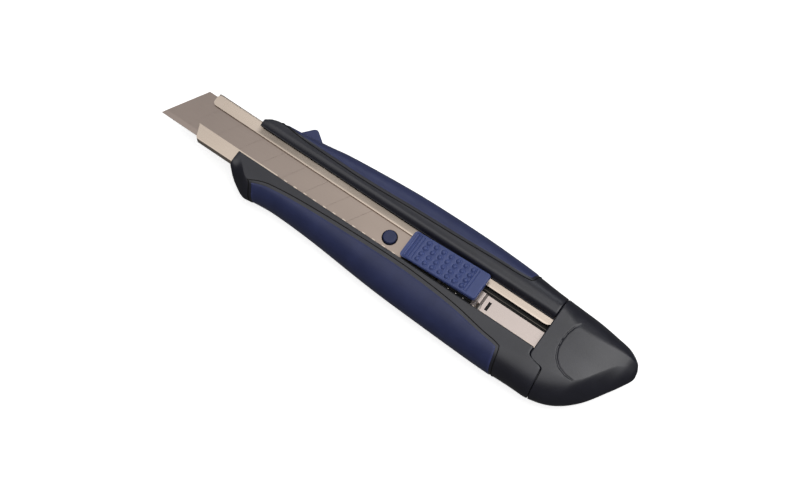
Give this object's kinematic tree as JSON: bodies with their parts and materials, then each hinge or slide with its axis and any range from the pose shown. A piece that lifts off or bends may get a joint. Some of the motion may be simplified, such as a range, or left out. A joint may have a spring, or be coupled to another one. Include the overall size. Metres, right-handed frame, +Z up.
{
  "type": "snap-off utility knife",
  "caption": "Snap-off utility knife: scored blade in a steel rail, locking thumb slider, black handle with blue soft grips and a pull-off end cap.",
  "frame": {"origin": "on the flat underside, on the blade rail's centre line, about level with the middle of the knife's length", "axes": "+X from the blade's tip to the end cap, +Y from the cutting edge to the blade's spine, +Z up through the slider"},
  "size_m": [0.2114, 0.0444, 0.0192],
  "materials": {
    "hard_black": "fine satin texture",
    "soft_blue": "smooth matte soft-touch",
    "hard_blue": "satin moulded plastic",
    "rail_steel": "bright rolled sheet, lightly brushed",
    "blade_steel": "satin ground"
  },
  "bodies": {
    "handle": {"body_shell": "hard_black", "underside_cover": "hard_black", "near_grip": "soft_blue", "far_grip": "soft_blue", "blade_rail": "rail_steel", "cover_screw_1": "rail_steel", "cover_screw_2": "rail_steel", "cover_screw_3": "rail_steel", "cover_screw_4": "rail_steel", "rail_rivet_front": "rail_steel", "rail_rivet_rear": "rail_steel"},
    "slider": {"blade": "blade_steel", "blade_carrier": "hard_blue", "slider_base": "hard_black", "button_spring": "rail_steel", "lock_spring": "rail_steel", "tail_strip": "rail_steel", "strip_rivet": "rail_steel"},
    "button": {"slider_button": "hard_blue", "lock_pawl": "rail_steel"},
    "cap": {"end_cap": "hard_black"}
  },
  "joints": [
    {"name": "slider_slide", "type": "slide", "parent": "handle", "child": "slider", "axis": [1, 0, 0], "range_m": [-0.065, 0.019]},
    {"name": "button_press", "type": "slide", "parent": "slider", "child": "button", "axis": [0, 0, -1], "range_m": [0, 0.001], "stiffness_N_per_m": 800, "deforming": ["button_spring"]},
    {"name": "cap_pull", "type": "slide", "parent": "handle", "child": "cap", "axis": [1, 0, 0], "range_m": [0, 0.03]}
  ]
}
